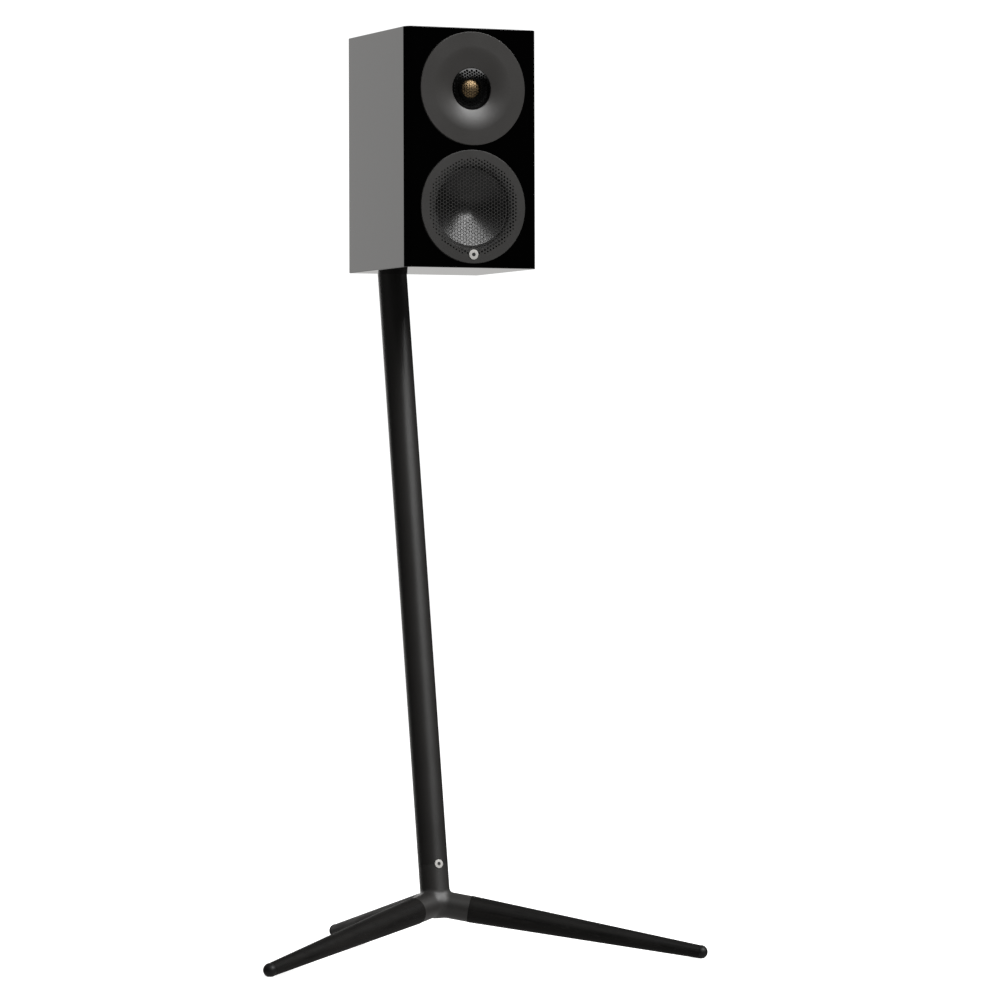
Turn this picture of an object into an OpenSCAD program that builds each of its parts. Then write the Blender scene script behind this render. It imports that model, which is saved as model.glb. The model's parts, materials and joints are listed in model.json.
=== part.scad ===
// Compact two-way loudspeaker on a leaning three-legged stand.
// Millimetres, +Z up, the front faces -Y, +X is the viewer's right.
// The origin is on the floor, in the middle of the box around the three feet.

/* [Cabinet] */
// Width of the cabinet
cab_w = 154; // [120:1:200]
// Height of the cabinet
cab_h = 259; // [220:1:330]
// Depth of the cabinet
cab_d = 164; // [140:1:240]
// Thickness of the side, top, bottom and rear boards
board_t = 12; // [9:0.5:18]
// Thickness of the front baffle
baffle_t = 18; // [16:0.5:25]
// Rounding of the two upright front edges
edge_r = 9; // [4:0.5:14]
// How far the rear board sits inside the rear edge
rear_inset = 3; // [1:0.5:6]

/* [Drivers] */
// Outside diameter of the two round trims
ring_d = 122.5; // [110:0.5:130]
// How far the trims stand out of the front
ring_proud = 2.5; // [1:0.1:4]
// Height of the woofer's centre above the cabinet's underside
woofer_z = 66; // [62:0.5:90]
// Height of the tweeter's centre above the cabinet's underside
tweeter_z = 193.5; // [180:0.5:230]
// Diameter of the aluminium cone
cone_d = 87; // [70:0.5:90]
// Diameter of the perforated zone of the grille
perf_d = 106; // [90:0.1:112]
// Diameter inside which the grille's holes have their full size
full_holes_d = 84; // [40:0.5:112]
// Distance between neighbouring holes of the grille
hole_pitch = 3.86; // [3:0.01:6]
// Width of one six-sided hole across its corners
hole_d = 3.95; // [1.5:0.05:4.2]
// Diameter of the small disc on the woofer's trim
disc_d = 10.8; // [6:0.1:14]
// Diameter of the tweeter's bowl where it meets the flat trim
bowl_d = 91.5; // [70:0.5:100]
// Diameter of the protective mesh in front of the tweeter
mesh_d = 45; // [36:0.5:50]
// Depth of the bowl from the trim's face to the mesh rim
bowl_depth = 4; // [3:0.1:10]
// Diameter of the metal dome
dome_d = 20.5; // [18:0.5:26]

/* [Rear] */
// Inside diameter of the bass port
port_d = 34; // [25:1:45]
// Length of the bass port
port_len = 88; // [60:1:120]
// Height of the port's centre above the cabinet's underside
port_z = 205; // [190:1:220]
// Height of the terminal cup's centre above the cabinet's underside
cup_z = 124; // [115:1:140]
// Distance between the two binding posts
post_gap = 34; // [28:0.5:40]

/* [Stand] */
// Height of the cabinet's underside above the floor
cab_base_h = 751.5; // [600:0.5:900]
// Lean of the column from upright, in degrees
lean = 9.64; // [4:0.01:14]
// Outside diameter of the column
column_d = 32.6; // [28:0.1:40]
// Wall of the column tube
column_wall = 2; // [1.5:0.1:3]
// Column axis behind the cabinet's rear edge, level with its underside
column_gap = 59.7; // [45:0.1:90]
// Height of the point where the column and the three legs cross
hub_h = 59.3; // [45:0.1:80]
// Height of the joint between hub and column
seam_h = 99.8; // [90:0.5:130]
// Distance from the hub's centre to each foot, seen from above
foot_reach = 291.3; // [220:0.1:340]
// Diameter of a leg at the hub
leg_d = 29.6; // [24:0.1:32]
// Diameter of a leg at its foot
leg_tip_d = 14.6; // [12:0.1:20]
// Length of each arm of the hub, from its centre
arm_len = 38; // [30:0.5:50]
// Diameter of the small disc on the column
badge_d = 9.6; // [6:0.1:12]
// Height of the bracket above the cabinet's underside
bracket_z = 45; // [42:1:50]

/* [Hidden] */

// Where the parts stand
foot_ball_r = 7.6;
foot_h = 7;
hub_y = -foot_reach / 4;
front_y = hub_y + (cab_base_h - hub_h) * tan(lean) - column_gap - cab_d;
leg_drop = atan((hub_h - foot_h) / foot_reach);
leg_len = sqrt(pow(foot_reach, 2) + pow(hub_h - foot_h, 2));
column_r = column_d / 2;
seam_t = (seam_h - hub_h) / cos(lean);
column_top_t = (cab_base_h + bracket_z + 27 - hub_h) / cos(lean);
bracket_t = (cab_base_h + bracket_z - hub_h) / cos(lean);

// Cabinet
rear_y = cab_d - rear_inset - board_t;
inner_w = cab_w - 2 * board_t;
inner_h = cab_h - 2 * board_t;

// Woofer, depths are measured from the cabinet's front face
ring_r = ring_d / 2;
rebate_r = ring_r - 1.45;
rebate_depth = 6.6;
flange_r = rebate_r - 0.4;
basket_hole_r = 53;
sheet_t = 0.6;
seat_y = 5;
cone_r = cone_d / 2;
former_r = 12.5;
neck_y = 17.5;
plate_y = 40;
screw_ring_r = 56.9;
disc_drop = 51.8;

// Tweeter
boss_r = 44.5;
unit_y = -3.2;
plate_face_y = 9 + unit_y;
mesh_rim_y = bowl_depth - ring_proud;
dome_r = dome_d / 2;

// Rear
cup_w = 74;
cup_h = 54;
cup_floor_y = 144;
stud_r = 3;
bore_r = 2;
run_gap = 0.08;
post_end_y = 161;

module at_cabinet() translate([0, front_y, cab_base_h]) children();
module along_y() rotate([-90, 0, 0]) children();
module at_front(z) at_cabinet() translate([0, 0, z]) along_y() children();
module at_tweeter_unit() at_front(tweeter_z) translate([0, 0, unit_y]) children();
module at_column() translate([0, hub_y, hub_h]) rotate([-lean, 0, 0]) children();
module at_leg(a) translate([0, hub_y, hub_h]) rotate([0, 0, a]) rotate([0, 90 + leg_drop, 0]) children();
module ring_of(n, r, start = 0) for (i = [0:n - 1]) rotate([0, 0, start + i * 360 / n])
  translate([r, 0, 0]) children();
module block(x, y, z) translate([x[0], y[0], z[0]]) cube([x[1] - x[0], y[1] - y[0], z[1] - z[0]]);
module tube(r0, r1, z0, z1) translate([0, 0, z0]) difference() {
  cylinder(r = r1, h = z1 - z0, $fn = 96);
  translate([0, 0, -1]) cylinder(r = r0, h = z1 - z0 + 2, $fn = 96);
}
module disc(r, z0, z1) translate([0, 0, z0]) cylinder(r = r, h = z1 - z0, $fn = 64);

// ---- cabinet ----
module cabinet_shell() color([0.02, 0.02, 0.02]) at_cabinet() difference() {
  block([-cab_w / 2, cab_w / 2], [baffle_t, cab_d], [0, cab_h]);
  block([-inner_w / 2, inner_w / 2], [0, cab_d + 1], [board_t, cab_h - board_t]);
}

module front_baffle() color([0.02, 0.02, 0.02]) at_cabinet() difference() {
  union() {
    block([-cab_w / 2 + edge_r, cab_w / 2 - edge_r], [0, baffle_t], [0, cab_h]);
    block([-cab_w / 2, cab_w / 2], [edge_r, baffle_t], [0, cab_h]);
    for (s = [-1, 1]) translate([s * (cab_w / 2 - edge_r), edge_r, 0])
      cylinder(r = edge_r, h = cab_h, $fn = 64);
  }
  translate([0, 0, woofer_z]) along_y() {
    disc(rebate_r, -1, rebate_depth);
    disc(basket_hole_r, -1, baffle_t + 1);
    ring_of(4, screw_ring_r) disc(1.6, 5, 17);
  }
  translate([0, 0, tweeter_z]) along_y() {
    disc(boss_r + 0.5, -1, baffle_t + 1);
    ring_of(4, 54, 45) disc(2.5, -1, 9);
  }
}

module rear_panel() color([0.03, 0.03, 0.03]) at_cabinet() difference() {
  block([-inner_w / 2, inner_w / 2], [rear_y, rear_y + board_t], [board_t, cab_h - board_t]);
  translate([0, 0, port_z]) along_y() disc(port_d / 2 + 2, rear_y - 1, cab_d);
  block([-33, 33], [rear_y - 1, cab_d], [cup_z - 23, cup_z + 23]);
  for (sx = [-1, 1], sz = [-1, 1]) translate([sx * 33.3, 0, cup_z + sz * 23.3])
    along_y() disc(1.5, rear_y + 3, cab_d);
  for (s = [-1, 1]) translate([0, 0, bracket_z + s * 24]) along_y() disc(4.5, rear_y - 1, cab_d);
}

module window_brace() color([0.55, 0.42, 0.28]) at_cabinet() difference() {
  block([-inner_w / 2, inner_w / 2], [baffle_t, 112], [125, 134]);
  block([-42, 42], [44, 98], [124, 135]);
}

module damping_felt() color([0.75, 0.75, 0.72]) at_cabinet() {
  for (s = [-1, 1], z = [[30, 118], [142, 232]])
    translate([s * (inner_w / 2 - 3.5), 0, 0]) block([-3.5, 3.5], [26, 140], z);
  block([-48, 48], [26, 140], [cab_h - board_t - 8, cab_h - board_t]);
}

// ---- woofer ----
// Six-sided holes on a triangular grid. Their area falls to nothing from r_full to just past r,
// and a land stays closed under the small disc.
module hex_field(r, r_full, pitch, d) {
  step = pitch * sin(60);
  n = floor(r / step);
  m = floor(r / pitch) + 1;
  for (i = [-n:n], j = [-m:m]) {
    x = i * step;
    y = (j + (i % 2 == 0 ? 0 : 0.5)) * pitch;
    rr = norm([x, y]);
    if (rr < r && norm([x, y - disc_drop]) > disc_d / 2 + 1.4) translate([x, y])
      circle(d = d * sqrt(min(1, (r + 1.5 - rr) / (r + 1.5 - r_full))), $fn = 6);
  }
}

module woofer_grille() color([0.2, 0.2, 0.2]) at_front(woofer_z) {
  translate([0, 0, -ring_proud]) linear_extrude(sheet_t) difference() {
    circle(r = ring_r, $fn = 128);
    hex_field(perf_d / 2, full_holes_d / 2, hole_pitch, hole_d);
  }
  tube(rebate_r + 0.1, ring_r, sheet_t - ring_proud, 0);
}

module driver_disc() color([0.75, 0.74, 0.7]) at_front(woofer_z)
  translate([0, disc_drop, 0]) disc(disc_d / 2, -ring_proud - 0.8, -ring_proud);

module woofer_basket() color([0.08, 0.08, 0.08]) at_front(woofer_z) difference() {
  union() {
    rotate_extrude($fn = 96) polygon([
      [flange_r, 1.6], [flange_r, 5.6], [52.8, 5.6], [52.6, 9], [33.5, 36.5], [33.5, plate_y],
      [16, plate_y], [16, 37.5], [31, 37.5], [31, 35.8], [50, 8.6], [51.4, seat_y],
      [54.4, seat_y], [54.4, 1.6]]);
    rotate_extrude($fn = 96) polygon([[32, 25], [39.6, 25], [38.2, 27], [32, 27]]);
  }
  ring_of(4, screw_ring_r) disc(1.8, 0, 7);
  for (i = [0:5]) rotate([0, 0, 30 + i * 60]) block([34, 60], [-13, 13], [11, 23]);
}

module woofer_gasket() color([0.1, 0.1, 0.1]) at_front(woofer_z) difference() {
  tube(basket_hole_r + 0.2, flange_r, 5.6, rebate_depth);
  ring_of(4, screw_ring_r) disc(1.6, 5, 7);
}

function cone_y(r) = neck_y - (neck_y - 5.8) * (r - 13) / (cone_r - 15);
module woofer_cone() color([0.05, 0.05, 0.05]) at_front(woofer_z) rotate_extrude($fn = 96)
  polygon(concat(
    [for (i = [0:8]) let (r = 13 + (cone_r - 15) * i / 8) [r, cone_y(r)]],
    [[cone_r, 5.5], [cone_r, 6.3]],
    [for (i = [8:-1:1]) let (r = 13 + (cone_r - 15) * i / 8) [r, cone_y(r) + 0.9]],
    [[13.7, neck_y + 1], [13.7, neck_y + 3], [13, neck_y + 3]]));

function cap_y(r) = cone_y(14.2) - 0.15 + 0.0144 * (pow(14.2, 2) - r * r);
module woofer_dust_cap() color([0.05, 0.05, 0.05]) at_front(woofer_z)
  rotate_extrude($fn = 64) polygon(concat(
    [for (i = [0:7]) [14.2 * i / 7, cap_y(14.2 * i / 7)]],
    [[14.2, cap_y(14.2) + 0.1], [13, neck_y - 0.02]],
    [for (i = [6:-1:0]) [12.4 * i / 6, cap_y(12.4 * i / 6) + 0.3]]));

module half_roll(r0, r1, y0, t) {
  rc = (r0 + r1) / 2;
  ra = (r1 - r0) / 2;
  polygon(concat(
    [for (a = [180:-15:0]) [rc + ra * cos(a), y0 - ra * sin(a)]],
    [for (a = [0:15:180]) [rc + (ra - t) * cos(a), y0 - (ra - t) * sin(a)]]));
}

module woofer_surround() color([0.06, 0.06, 0.06]) at_front(woofer_z) rotate_extrude($fn = 96) {
  half_roll(cone_r - 0.2, 51.6, seat_y, 0.8);
  polygon([[41.6, seat_y - 0.2], [cone_r + 0.4, seat_y - 0.2], [cone_r + 0.4, seat_y + 0.5],
    [41.6, seat_y + 0.5]]);
  polygon([[51, seat_y - 0.9], [54.3, seat_y - 0.9], [54.3, seat_y], [51, seat_y]]);
}

module woofer_spider() color([0.75, 0.55, 0.2]) at_front(woofer_z) rotate_extrude($fn = 96)
  polygon(concat(
    [for (r = [13:1:31]) [r, 24.2 + 0.7 * sin((r - 13) * 100)]], [[32, 24.4], [35.5, 24.4]],
    [[35.5, 25], [32, 25]], [for (r = [31:-1:13]) [r, 24.8 + 0.7 * sin((r - 13) * 100)]]));

module woofer_former() color([0.8, 0.8, 0.82]) at_front(woofer_z)
  tube(former_r, former_r + 0.5, neck_y + 0.4, 47);

module woofer_coil() color([0.72, 0.42, 0.2]) at_front(woofer_z)
  tube(former_r + 0.5, former_r + 1.1, 37, 47);

module woofer_top_plate() color([0.5, 0.5, 0.52]) at_front(woofer_z) tube(14.3, 35, plate_y, 45);

module woofer_magnet() color([0.12, 0.12, 0.13]) at_front(woofer_z) tube(20, 36, 45, 58);

module woofer_yoke() color([0.5, 0.5, 0.52]) at_front(woofer_z) difference() {
  union() {
    disc(35, 58, 63);
    disc(11.8, plate_y, 60);
  }
  disc(4, 30, 70);
}

module woofer_screws() color([0.1, 0.1, 0.1]) at_front(woofer_z) ring_of(4, screw_ring_r)
  difference() {
    union() {
      disc(2.3, -0.2, 1.6);
      disc(1.6, 1, 17);
    }
    translate([0, 0, -1]) cylinder(r = 1.1, h = 1.8, $fn = 6);
  }

// ---- tweeter ----
function bowl_y(r) = -ring_proud + bowl_depth * pow((bowl_d / 2 - r) / (bowl_d / 2 - mesh_d / 2), 2);
module tweeter_waveguide() color([0.2, 0.2, 0.2]) at_front(tweeter_z) {
  difference() {
    rotate_extrude($fn = 128) polygon(concat(
      [for (i = [0:9]) let (r = mesh_d / 2 + (bowl_d - mesh_d) / 2 * i / 9) [r, bowl_y(r)]],
      [[ring_r, -ring_proud], [ring_r, 0], [boss_r, 0], [boss_r, plate_face_y],
       [mesh_d / 2, plate_face_y]]));
    ring_of(3, 33, 90) disc(1.5, 5 + unit_y, 13);
  }
  ring_of(4, 54, 45) disc(2.5, -0.5, 9);
}

module tweeter_mesh() color([0.03, 0.03, 0.03]) at_front(tweeter_z) {
  bulge = 3.6;
  rotate_extrude($fn = 96) polygon(concat(
    [for (i = [0:8]) let (r = (mesh_d / 2 - 0.9) * i / 8)
      [r, mesh_rim_y - bulge * (1 - pow(i / 8, 2))]],
    [[mesh_d / 2, mesh_rim_y], [mesh_d / 2, mesh_rim_y + 1]],
    [for (i = [8:-1:0]) let (r = (mesh_d / 2 - 0.9) * i / 8)
      [r, mesh_rim_y + 0.5 - bulge * (1 - pow(i / 8, 2))]]));
}

module tweeter_dome() color([0.8, 0.6, 0.3]) at_tweeter_unit() rotate_extrude($fn = 64)
  polygon(concat(
    [for (i = [0:8]) [dome_r * i / 8, 8.4 - 4.6 * sqrt(1 - pow(i / 8 * 0.94, 2)) + 1.56]],
    [[dome_r, 8.9], [dome_r - 0.4, 8.9]],
    [for (i = [7:-1:0]) [dome_r * i / 8, 8.7 - 4.6 * sqrt(1 - pow(i / 8 * 0.94, 2)) + 1.56]]));

module tweeter_surround() color([0.05, 0.05, 0.05]) at_tweeter_unit() rotate_extrude($fn = 64) {
  half_roll(dome_r + 0.05, 14.4, 8.7, 0.4);
  polygon([[14, 8.6], [18, 8.6], [18, 9], [14, 9]]);
}

module tweeter_coil() color([0.72, 0.42, 0.2]) at_tweeter_unit() {
  tube(dome_r - 0.25, dome_r, 8.9, 14.5);
  tube(dome_r, dome_r + 0.3, 11, 14);
}

module tweeter_plate() color([0.05, 0.05, 0.05]) at_tweeter_unit() difference() {
  tube(13.8, 41, 9, 12);
  ring_of(3, 33, 90) disc(1.5, 8, 13);
}

module tweeter_magnet() color([0.6, 0.6, 0.62]) at_tweeter_unit() disc(8.5, 15, 22);

module tweeter_pole() color([0.5, 0.5, 0.52]) at_tweeter_unit() disc(9.5, 12, 15);

module tweeter_pot() color([0.5, 0.5, 0.52]) at_tweeter_unit() rotate_extrude($fn = 64)
  polygon([[0, 22], [14, 22], [14, 14.5], [11.1, 14.5], [11.1, 12], [17, 12], [17, 26], [0, 26]]);

module tweeter_rear_cup() color([0.06, 0.06, 0.06]) at_tweeter_unit() {
  rotate_extrude($fn = 64) polygon([[17, 12], [22, 12], [22, 14], [19.2, 14], [19.2, 36], [0, 36],
    [0, 34], [17, 34]]);
  for (s = [-1, 1]) block([s * 5 - 2, s * 5 + 2], [19, 25], [26, 27.2]);
}

module tweeter_screws() color([0.6, 0.6, 0.6]) at_tweeter_unit() ring_of(3, 33, 90) {
  disc(1.5, 5, 12);
  difference() {
    disc(2.8, 12, 14);
    translate([0, 0, 13]) cylinder(r = 1.2, h = 2, $fn = 6);
  }
}

// ---- rear ----
module port_tube() color([0.04, 0.04, 0.04]) at_front(port_z) {
  r = port_d / 2;
  flare = 6;
  mouth_y = cab_d - 0.4;
  rotate_extrude($fn = 96) polygon(concat(
    [[r, cab_d - port_len], [r + 2, cab_d - port_len], [r + 2, rear_y + board_t],
     [r + 9, rear_y + board_t], [r + 9, mouth_y - 0.6], [r + 8.4, mouth_y]],
    [for (t = [90:-15:0]) [r + flare - flare * cos(t), mouth_y - flare + flare * sin(t)]]));
}

module terminal_cup() color([0.05, 0.05, 0.05]) at_cabinet() translate([0, 0, cup_z]) difference() {
  union() {
    block([-cup_w / 2, cup_w / 2], [rear_y + board_t, cab_d], [-cup_h / 2, cup_h / 2]);
    block([-33, 33], [cup_floor_y - 2.5, cab_d - 1], [-23, 23]);
  }
  block([-30.5, 30.5], [cup_floor_y, cab_d + 1], [-20.5, 20.5]);
  for (s = [-1, 1]) translate([s * post_gap / 2, 0, 0]) along_y() disc(stud_r, 130, 150);
  for (sx = [-1, 1], sz = [-1, 1]) translate([sx * 33.3, 0, sz * 23.3]) along_y() {
    disc(1.5, 150, 170);
    disc(2.7, cab_d - 1.8, 170);
  }
}

module cup_screws() color([0.1, 0.1, 0.1]) at_front(cup_z)
  for (sx = [-1, 1], sz = [-1, 1]) translate([sx * 33.3, sz * 23.3, 0]) difference() {
    union() {
      disc(1.5, rear_y + 3, cab_d - 1);
      disc(2.7, cab_d - 1.8, cab_d);
    }
    translate([0, 0, cab_d - 1.2]) cylinder(r = 1.3, h = 2, $fn = 6);
  }

module each_post(sides = [-1, 1]) at_front(cup_z) for (s = sides)
  translate([s * post_gap / 2, 0, 0]) children();

module post_studs() color([0.85, 0.7, 0.3]) each_post() difference() {
  disc(stud_r, 128, post_end_y);
  disc(bore_r, post_end_y - 14, post_end_y + 1);
}

module post_nuts() color([0.85, 0.7, 0.3]) each_post() difference() {
  translate([0, 0, 136.5]) cylinder(r = 5.8, h = 5, $fn = 6);
  disc(stud_r, 130, 145);
}

module post_collars() color([0.05, 0.05, 0.05]) each_post() difference() {
  disc(7, cup_floor_y, cup_floor_y + 3.2);
  disc(stud_r, cup_floor_y - 1, cup_floor_y + 5);
}

washer_y = cup_floor_y + 3.3;
module clamp_washer() difference() {
  disc(6.4, washer_y, washer_y + 1);
  disc(stud_r + run_gap, washer_y - 1, washer_y + 2);
}
module clamp_washer_red() color([0.85, 0.7, 0.3]) each_post([-1]) clamp_washer();
module clamp_washer_black() color([0.85, 0.7, 0.3]) each_post([1]) clamp_washer();

module knob() difference() {
  union() {
    disc(7, washer_y + 1.1, washer_y + 2.6);
    difference() {
      disc(7.6, washer_y + 2.6, post_end_y - 0.5);
      ring_of(12, 8.2) disc(1.1, washer_y + 2, post_end_y);
    }
  }
  disc(stud_r + run_gap, washer_y, post_end_y + 1);
}
module knob_red() color([0.6, 0.05, 0.05]) each_post([-1]) knob();
module knob_black() color([0.05, 0.05, 0.05]) each_post([1]) knob();

// ---- crossover ----
board_z = board_t + 5;
module crossover_board() color([0.1, 0.3, 0.15]) at_cabinet() difference() {
  block([-48, 48], [70, 138], [board_z, board_z + 1.6]);
  for (x = [-43, 43], y = [75, 133]) translate([x, y, board_z - 1]) cylinder(r = 1.6, h = 4, $fn = 32);
}

module board_spacers() color([0.85, 0.85, 0.8]) at_cabinet()
  for (x = [-43, 43], y = [75, 133]) translate([x, y, board_t]) {
    cylinder(r = 3, h = 5, $fn = 32);
    cylinder(r = 1.6, h = 7.6, $fn = 32);
    translate([0, 0, 6.6]) cylinder(r = 2.8, h = 1.6, $fn = 32);
  }

module inductors() color([0.72, 0.42, 0.2]) at_cabinet() {
  translate([-24, 92, board_z + 1.6]) tube(7, 16, 0, 16);
  translate([20, 88, board_z + 1.6]) tube(5, 11, 0, 12);
}

module capacitors() color([0.75, 0.65, 0.2]) at_cabinet() for (x = [-38, -18])
  translate([x, 121, board_z + 1.6 + 8]) rotate([0, 90, 0]) translate([0, 0, -9])
    cylinder(r = 8, h = 18, $fn = 48);

module resistors() color([0.85, 0.84, 0.8]) at_cabinet() for (y = [101, 111])
  block([12, 34], [y, y + 7], [board_z + 1.6, board_z + 8.6]);

module flat_lead(x, route) translate([x - 1, 0, 0]) rotate([90, 0, 90]) linear_extrude(2)
  for (i = [0:len(route) - 2]) {
    v = route[i + 1] - route[i];
    translate(route[i]) rotate(atan2(v[1], v[0])) translate([-0.8, -0.8]) square([norm(v) + 1.6, 1.6]);
  }
module leads() color([0.5, 0.1, 0.1]) at_cabinet() for (s = [-1, 1]) {
  lift = board_z + 2.4;
  flat_lead(s * 17, [[127.2, cup_z], [124, 112], [132, 100], [132, lift]]);
  flat_lead(s * 40, [[104, lift], [104, 60], [74, 100], [50, 100], [25.5, 82]]);
  flat_lead(s * 5, [[127, lift], [127, 70], [123, 90], [123, tweeter_z - 22], [28 + unit_y, tweeter_z - 22]]);
}

// ---- stand ----
module column_tube() color([0.09, 0.09, 0.09]) difference() {
  at_column() tube(column_r - column_wall, column_r, seam_t, column_top_t);
  at_column() translate([0, 0, seam_t]) rotate([90, 0, 0]) disc(badge_d / 2, column_r - 0.8, 30);
}

module column_cap() color([0.04, 0.04, 0.04]) at_column() {
  disc(column_r, column_top_t, column_top_t + 2.5);
  tube(column_r - column_wall - 2, column_r - column_wall, column_top_t - 10, column_top_t);
}

module column_plug() color([0.6, 0.6, 0.6]) at_column()
  tube(4, column_r - column_wall, seam_t + 30, seam_t + 46);

module hub() color([0.25, 0.25, 0.25]) difference() {
  union() {
    at_column() {
      disc(column_r, 0, seam_t);
      disc(column_r - column_wall, 0, seam_t + 30);
    }
    translate([0, hub_y, hub_h]) sphere(r = column_r, $fn = 64);
    for (a = [90, 210, 330]) at_leg(a) disc(leg_d / 2 - 0.3, 0, arm_len);
  }
  for (a = [90, 210, 330]) at_leg(a) disc(4, 24, arm_len + 1);
  at_column() {
    disc(4, -20, seam_t + 31);
    disc(7, -30, -6);
    translate([0, 0, seam_t]) rotate([90, 0, 0]) disc(badge_d / 2, column_r - 0.8, 30);
  }
}

module hub_bolt() color([0.3, 0.3, 0.3]) at_column() difference() {
  union() {
    disc(4, -6, seam_t + 44);
    disc(6.5, -13, -6);
  }
  translate([0, 0, -14]) cylinder(r = 3.4, h = 5, $fn = 6);
}

module column_disc() color([0.75, 0.74, 0.7]) at_column() translate([0, 0, seam_t])
  rotate([90, 0, 0]) disc(badge_d / 2, column_r - 0.8, column_r + 0.5);

module leg() {
  tip = leg_len - 1.5;
  difference() {
    translate([0, 0, arm_len])
      cylinder(r1 = leg_d / 2, r2 = leg_tip_d / 2, h = tip - arm_len, $fn = 64);
    disc(4, arm_len - 1, arm_len + 30);
    disc(3.5, tip - 12, tip + 1);
  }
}
module leg_left() color([0.06, 0.055, 0.05]) at_leg(210) leg();
module leg_right() color([0.06, 0.055, 0.05]) at_leg(330) leg();
module leg_rear() color([0.06, 0.055, 0.05]) at_leg(90) leg();

module leg_studs() color([0.6, 0.6, 0.6]) for (a = [90, 210, 330])
  at_leg(a) disc(4, 24, arm_len + 30);

module feet() color([0.03, 0.03, 0.03]) difference() {
  for (a = [90, 210, 330]) at_leg(a) {
    difference() {
      translate([0, 0, leg_len]) sphere(r = foot_ball_r, $fn = 64);
      disc(20, leg_len - 20, leg_len - 1.5);
    }
    disc(3.5, leg_len - 13.5, leg_len);
  }
  block([-400, 400], [-400, 400], [-20, 0]);
}

module mount_bracket() color([0.12, 0.12, 0.12]) difference() {
  union() {
    at_column() disc(column_r + 5, bracket_t - 15, bracket_t + 15);
    at_cabinet() {
      block([-28, 28], [rear_y + board_t, rear_y + board_t + 6], [bracket_z - 33, bracket_z + 33]);
      translate([0, 0, bracket_z]) along_y() disc(11, rear_y + board_t + 3, cab_d + column_gap + 6);
    }
  }
  at_column() disc(column_r, 0, 2000);
  at_cabinet() for (s = [-1, 1]) translate([0, 0, bracket_z + s * 24]) along_y() disc(3, 150, 180);
}

module at_bracket_holes() for (z = [-24, 24]) at_front(bracket_z) translate([0, z, 0]) children();
module bracket_bolts() color([0.1, 0.1, 0.1]) at_bracket_holes() difference() {
  union() {
    disc(3, rear_y - 1, rear_y + board_t + 6);
    disc(5, rear_y + board_t + 6, rear_y + board_t + 12);
  }
  translate([0, 0, rear_y + board_t + 9]) cylinder(r = 2.9, h = 4, $fn = 6);
}

module bracket_inserts() color([0.7, 0.7, 0.7]) at_bracket_holes() {
  tube(3, 4.5, rear_y, rear_y + board_t);
  tube(3, 9, rear_y - 1.5, rear_y);
}

cabinet_shell();
front_baffle();
rear_panel();
window_brace();
damping_felt();
woofer_grille();
driver_disc();
woofer_basket();
woofer_gasket();
woofer_cone();
woofer_dust_cap();
woofer_surround();
woofer_spider();
woofer_former();
woofer_coil();
woofer_top_plate();
woofer_magnet();
woofer_yoke();
woofer_screws();
tweeter_waveguide();
tweeter_mesh();
tweeter_dome();
tweeter_surround();
tweeter_coil();
tweeter_plate();
tweeter_magnet();
tweeter_pole();
tweeter_pot();
tweeter_rear_cup();
tweeter_screws();
port_tube();
terminal_cup();
cup_screws();
post_studs();
post_nuts();
post_collars();
clamp_washer_red();
clamp_washer_black();
knob_red();
knob_black();
crossover_board();
board_spacers();
inductors();
capacitors();
resistors();
leads();
column_tube();
column_cap();
column_plug();
hub();
hub_bolt();
column_disc();
leg_left();
leg_right();
leg_rear();
leg_studs();
feet();
mount_bracket();
bracket_bolts();
bracket_inserts();
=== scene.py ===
"""Looks for the compact loudspeaker on its leaning three-legged stand.

Metres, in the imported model's frame: +Z up, the front faces -Y, +X is the viewer's right.
"""

import json
import math

import bmesh
import bpy
import numpy as np
from mathutils import Matrix, Vector
from mathutils.geometry import delaunay_2d_cdt

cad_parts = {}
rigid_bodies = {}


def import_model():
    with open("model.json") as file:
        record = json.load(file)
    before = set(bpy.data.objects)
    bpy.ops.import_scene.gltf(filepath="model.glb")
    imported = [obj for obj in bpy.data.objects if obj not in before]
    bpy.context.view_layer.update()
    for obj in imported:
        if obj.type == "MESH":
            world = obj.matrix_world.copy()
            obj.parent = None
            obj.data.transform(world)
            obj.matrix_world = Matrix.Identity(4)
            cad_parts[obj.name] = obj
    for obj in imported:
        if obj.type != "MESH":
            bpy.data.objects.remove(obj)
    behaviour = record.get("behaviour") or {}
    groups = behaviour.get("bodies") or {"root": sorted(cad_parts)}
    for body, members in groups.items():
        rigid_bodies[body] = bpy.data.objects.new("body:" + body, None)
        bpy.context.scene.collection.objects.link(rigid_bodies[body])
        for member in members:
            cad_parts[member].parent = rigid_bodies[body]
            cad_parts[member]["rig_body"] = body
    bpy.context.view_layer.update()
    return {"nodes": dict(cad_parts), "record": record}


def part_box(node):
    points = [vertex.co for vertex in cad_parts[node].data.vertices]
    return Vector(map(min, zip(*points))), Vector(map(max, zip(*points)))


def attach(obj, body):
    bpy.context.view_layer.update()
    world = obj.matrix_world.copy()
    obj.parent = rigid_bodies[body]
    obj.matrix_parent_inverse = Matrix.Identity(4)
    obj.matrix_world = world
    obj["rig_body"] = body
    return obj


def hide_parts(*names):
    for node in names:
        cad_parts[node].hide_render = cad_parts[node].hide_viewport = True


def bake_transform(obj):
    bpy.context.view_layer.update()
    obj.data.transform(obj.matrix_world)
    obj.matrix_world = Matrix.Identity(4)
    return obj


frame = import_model()
NODES = frame["nodes"]
ROOT = "speaker_and_stand"
MM = 0.001


# ---------------------------------------------------------------- places from the frame
def low(node):
    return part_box(node)[0]


def high(node):
    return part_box(node)[1]


def middle(node):
    return (low(node) + high(node)) / 2


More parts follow.
